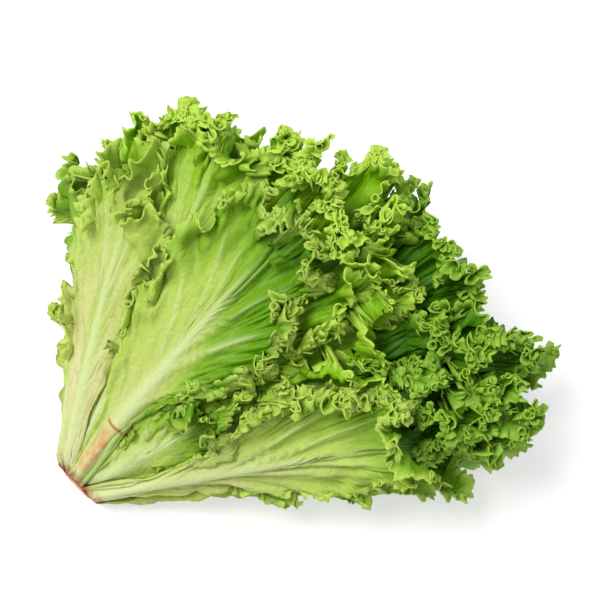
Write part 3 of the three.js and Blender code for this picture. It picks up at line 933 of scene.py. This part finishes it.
# each finish's last colour is the light edge of its frill, partly paler tissue and partly painted highlight
scarred_blade = leaf_material("scarred_lettuce_blade", OUTER_GREENS, "cce264", scar_seed=11)
outer_blade = leaf_material("outer_lettuce_blade", OUTER_GREENS, "cce264")
middle_blade = leaf_material("middle_lettuce_blade", MIDDLE_GREENS, "d6ee64")
heart_blade_with_painted_shade = leaf_material("heart_lettuce_blade_with_painted_shade", HEART_GREENS_WITH_PAINTED_SHADE, "acd644")
finishes = {"outer_leaf": outer_blade, "middle_leaf": middle_blade, "heart_leaf": heart_blade_with_painted_shade}
own_finishes = {"outer_leaf_1": scarred_blade}
for k in (5, 6, 13):  # painted shade: these lie on the side turned from the light, so they take the darker heart finish
    own_finishes[f"middle_leaf_{k}"] = heart_blade_with_painted_shade
for k in (1, 2):  # as light as the middle leaves over them, without the heart's painted shade
    own_finishes[f"heart_leaf_{k}"] = middle_blade
print(len(own_finishes), "leaves don't take their layer's finish")

# %% [markdown]
# ## Growing the head
# The leaves are made from the outermost in, as the cook would take them off. Each one learns its ground
# from the plain shapes of those still to come and its roof from those already made. It then stands for its
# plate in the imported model, which stays in the physics.

# %% Every leaf, from the outside in
roof = np.full((R_CELLS, A_CELLS), NO_ROOF)
covers = [coverage(leaf) for leaf in table]
sheets = {}
total = 0
for k, leaf in enumerate(table):
    ground = np.full((R_CELLS, A_CELLS), NO_GROUND)
    for other in covers[k + 1:]:
        ground = np.maximum(ground, other)
    columns, p, v, marks = leaf_points(leaf, ground, roof)
    roof = np.minimum(roof, roof_under(p, v))
    key = (leaf["sheet"], columns)
    if key not in sheets:
        sheets[key] = flat_sheet(f"{leaf['sheet']}_{columns}", LAYOUTS[leaf["sheet"]][1], columns)
    piece = shaped_copy(leaf["name"] + "_frilled", *sheets[key], p, marks)
    thicken(piece)
    slot = leaf["name"].rsplit("_", 1)[0]
    piece.data.materials.append(own_finishes.get(leaf["name"], finishes[slot]))
    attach(piece, "root")
    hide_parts(leaf["name"])
    triangles = sum(len(face.vertices) - 2 for face in piece.data.polygons)
    total += triangles
    spent = round(time.time() - clock, 1)
    print(leaf["name"], triangles, "triangles, open", round(leaf["seen"], 2), "after", spent, "s")
for sheet, place in sheets.values():
    bpy.data.objects.remove(sheet)
print("total", total, "triangles in", len(table), "leaves")

# %% [markdown]
# ## The cut stem
# Under the leaves sits a short woody core, thick at the cut and pointed where the leaves leave it. The
# knife left an uneven disc with a raised brown ring and a pale middle. A cylinder could be sculpted into
# it, or a profile spun. It is extruded here, because the stem climbs with the head and so isn't round about
# one straight axis. Insets make the rings of the cut, Subdivision Surface rounds it, and a cloudy Displace
# gives it the torn look of cut stalk.

# %% Rough out the core
CUT_HALF_WIDTH = 8.6
CUT_HALF_HEIGHT = 9.2
PROUD = 0.5  # of the trimmed leaf bases
CORE_STEPS = ((3, 0.78), (9, 0.93), (14, 0.86), (12, 0.68), (8, 0.4))  # mm on, and the width that stays
bpy.ops.object.select_all(action="DESELECT")
lying = (0, math.pi / 2, 0)
bpy.ops.mesh.primitive_cylinder_add(
    vertices=40, radius=1.0, depth=1.0, end_fill_type="NGON", rotation=lying
)
stem = bpy.context.object
stem.name = stem.data.name = "cut_stem"
stem.scale = (CUT_HALF_HEIGHT * MM, CUT_HALF_WIDTH * MM, 1.6 * MM)
stem.location = ((cut_x - PROUD + 0.8) * MM, cut_y * MM, STEM_HEIGHT * MM)
bpy.ops.object.transform_apply(location=True, rotation=True, scale=True)


def pick_end(piece, sign):
    """Select only the end face that looks towards the cut (-1) or the crown (+1)."""
    bpy.ops.mesh.select_all(action="DESELECT")
    mesh = bmesh.from_edit_mesh(piece.data)
    mesh.faces.ensure_lookup_table()
    best = max(mesh.faces, key=lambda f: (round(f.normal.x * sign, 3), f.calc_center_median().x * sign))
    best.select = True
    mesh.select_flush(True)
    bmesh.update_edit_mesh(piece.data)


bpy.ops.object.mode_set(mode="EDIT")
bpy.ops.mesh.select_mode(type="FACE")
pick_end(stem, 1)
for step, shrink in CORE_STEPS:
    move = (step * MM, 0, AXIS_RISE * step * MM)
    bpy.ops.mesh.extrude_region_move(TRANSFORM_OT_translate={"value": move})
    bpy.ops.transform.resize(value=(1, shrink, shrink))
print("the core runs", sum(step for step, shrink in CORE_STEPS), "mm into the head")

# %% Rings of the cut, then soft and uneven
CUT_RINGS = ((0.7, 0.12), (1.4, 0.22), (2.4, 0.15), (2.2, -0.1))  # mm inwards, and mm sunk into the cut
pick_end(stem, -1)
for thickness, sink in CUT_RINGS:
    bpy.ops.mesh.inset(thickness=thickness * MM)
    bpy.ops.transform.translate(value=(sink * MM, 0, 0))
bpy.ops.mesh.poke()
bpy.ops.object.mode_set(mode="OBJECT")
soft = stem.modifiers.new("soft", "SUBSURF")
soft.levels = soft.render_levels = 2
bpy.ops.object.modifier_apply(modifier=soft.name)
rough = bpy.data.textures.new("uneven_cut", "CLOUDS")
rough.noise_scale = 0.003
lumps = stem.modifiers.new("lumps", "DISPLACE")
lumps.texture = rough
lumps.texture_coords = "LOCAL"
lumps.strength = 0.7 * MM
lumps.mid_level = 0.5
bpy.ops.object.modifier_apply(modifier=lumps.name)
bpy.ops.object.shade_smooth()
print("cut stem has", len(stem.data.polygons), "faces and is", round(stem.dimensions.x / MM, 1), "mm long")

# %% [markdown]
# ## The finish of the cut
# Cut lettuce bleeds a milky juice that turns rusty in the air, most of all in the ring under the skin. The
# middle stays the colour of cream. Painting it on an image would fix its detail. Here the distance from the
# middle of the cut, made ragged by noise, runs through a ramp from cream to brown.

# %% Lettuce stem, cut with a knife and oxidised
# gives the eye: moist cream pith in a ragged rusty ring, with a fine fibrous grain
PITH_PATCH = 2.6  # mm
FIBRE = 0.7  # mm, coarser than real so that it shows
cut_finish = bpy.data.materials.new("oxidised_lettuce_stem")
cut_finish.use_nodes = True
tree = cut_finish.node_tree
base = tree.nodes["Principled BSDF"]
spot = add(tree, "ShaderNodeTexCoord").outputs["Object"]
middle = (0, -cut_y / CUT_HALF_WIDTH, -STEM_HEIGHT / CUT_HALF_HEIGHT)
to_ring = (0, 1000 / CUT_HALF_WIDTH, 1000 / CUT_HALF_HEIGHT)
centred = add(tree, "ShaderNodeMapping", {"Vector": spot, "Location": middle, "Scale": to_ring}).outputs[0]
radius = add(tree, "ShaderNodeVectorMath", {0: centred}, operation="LENGTH").outputs["Value"]
cloud = {"Vector": spot, "Scale": 1000 / PITH_PATCH, "Detail": 5.0}
cloud = add(tree, "ShaderNodeTexNoise", cloud).outputs["Fac"]
ring = add(tree, "ShaderNodeMath", {0: cloud, 1: 0.27, 2: -0.01}, operation="MULTIPLY_ADD").outputs[0]
ring = add(tree, "ShaderNodeMath", {0: radius, 1: 0.85, 2: ring}, operation="MULTIPLY_ADD").outputs[0]
RUST = [(0.25, "e2d2a0"), (0.52, "dcbf88"), (0.69, "d2935a"), (0.84, "bc6430"), (0.96, "98461f")]
colour = add(tree, "ShaderNodeValToRGB", {"Fac": ring}, RUST).outputs["Color"]
tree.links.new(colour, base.inputs["Base Color"])
base.inputs["Roughness"].default_value = 0.42
fine = {"Vector": spot, "Scale": 1000 / FIBRE, "Detail": 3.0}
fine = add(tree, "ShaderNodeTexNoise", fine).outputs["Fac"]
bump = add(tree, "ShaderNodeBump", {"Height": fine, "Strength": 0.5, "Distance": 0.0005}).outputs[0]
tree.links.new(bump, base.inputs["Normal"])
stem.data.materials.append(cut_finish)
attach(stem, "root")
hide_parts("stem")
print("finish", cut_finish.name, "has", len(tree.nodes), "nodes")

# %% [markdown]
# ## Camera
# The head is looked at from well above, a little from the stem's side, with a long lens so that it is
# hardly foreshortened. A track constraint could aim the camera. Its turn is set once instead, from the view
# direction.

# %% Camera
AIM_RIGHT, AIM_UP = 0.107, 0.0888  # metres from the cut to the middle of the view
DISTANCE = 0.96
azimuth, elevation = math.radians(-45), math.radians(75)
flat_part = math.cos(elevation)
back = Vector((math.sin(azimuth) * flat_part, -math.cos(azimuth) * flat_part, math.sin(elevation)))
right = Vector((math.cos(azimuth), math.sin(azimuth), 0))
up = back.cross(right)
cut = Vector((cut_x, cut_y, STEM_HEIGHT)) * MM
target = cut + right * AIM_RIGHT + up * AIM_UP
camera = bpy.data.objects.new("camera", bpy.data.cameras.new("camera"))
bpy.context.collection.objects.link(camera)
camera.data.lens = 120
camera.location = target + back * DISTANCE
camera.rotation_mode = "QUATERNION"
camera.rotation_quaternion = (-back).to_track_quat("-Z", "Y")
bpy.context.scene.camera = camera
print("the camera looks at", [round(c / MM) for c in target], "mm")

# %% [markdown]
# ## Floor and light
# The head lies on a white table in soft light from the upper left. More light would turn the floor white
# but bleach the leaves. So the floor and the sky answer the camera with white of their own, and the floor
# keeps enough of its shading to show the shadow.

# %% White floor that keeps a shadow
# gives the eye: matt white paper under the head
GLOW = 0.5  # how much of the floor is a white of its own


def to_the_eye(tree):
    """1 for rays from the camera, straight, off a gloss or through a glass, and 0 for the light itself."""
    path = add(tree, "ShaderNodeLightPath").outputs
    rays = {0: path["Is Camera Ray"], 1: path["Is Glossy Ray"]}
    rays = {0: add(tree, "ShaderNodeMath", rays, operation="MAXIMUM").outputs[0]}
    rays[1] = path["Is Transmission Ray"]
    return add(tree, "ShaderNodeMath", rays, operation="MAXIMUM").outputs[0]


bpy.ops.object.select_all(action="DESELECT")
bpy.ops.mesh.primitive_plane_add(size=6)
floor = bpy.context.object
floor.name = "floor"
paper = bpy.data.materials.new("white_paper")
paper.use_nodes = True
tree = paper.node_tree
base = tree.nodes["Principled BSDF"]
base.inputs["Base Color"].default_value = (1, 1, 1, 1)
half = {0: to_the_eye(tree), 1: GLOW}
half = add(tree, "ShaderNodeMath", half, operation="MULTIPLY").outputs[0]
glow = add(tree, "ShaderNodeEmission").outputs[0]
both = add(tree, "ShaderNodeMixShader", {0: half, 1: base.outputs[0], 2: glow}).outputs[0]
tree.links.new(both, tree.nodes["Material Output"].inputs["Surface"])
floor.data.materials.append(paper)
print("floor", floor.dimensions.x, "m wide")

# %% Sky and sun
SKY, SUN = 0.68, 2.85
SUN_SPREAD = math.radians(30)  # wide, for soft shadows
world = bpy.data.worlds.new("soft_sky")
bpy.context.scene.world = world
world.use_nodes = True
tree = world.node_tree
sky = tree.nodes["Background"]
sky.inputs["Color"].default_value = (1, 1, 1, 1)
strength = {"Value": to_the_eye(tree), "To Min": SKY, "To Max": 1.0}
strength = add(tree, "ShaderNodeMapRange", strength).outputs["Result"]
tree.links.new(strength, sky.inputs["Strength"])
sun = bpy.data.objects.new("sun", bpy.data.lights.new("sun", "SUN"))
bpy.context.collection.objects.link(sun)
sun.data.angle = SUN_SPREAD
sun.data.energy = SUN
light_from = (back - right * 0.5 + up * 0.5).normalized()
sun.rotation_mode = "QUATERNION"
sun.rotation_quaternion = light_from.to_track_quat("Z", "Y")
bpy.context.scene.view_settings.view_transform = "Standard"
print("sky", SKY, "and sun", SUN, "from", [round(c, 2) for c in light_from])
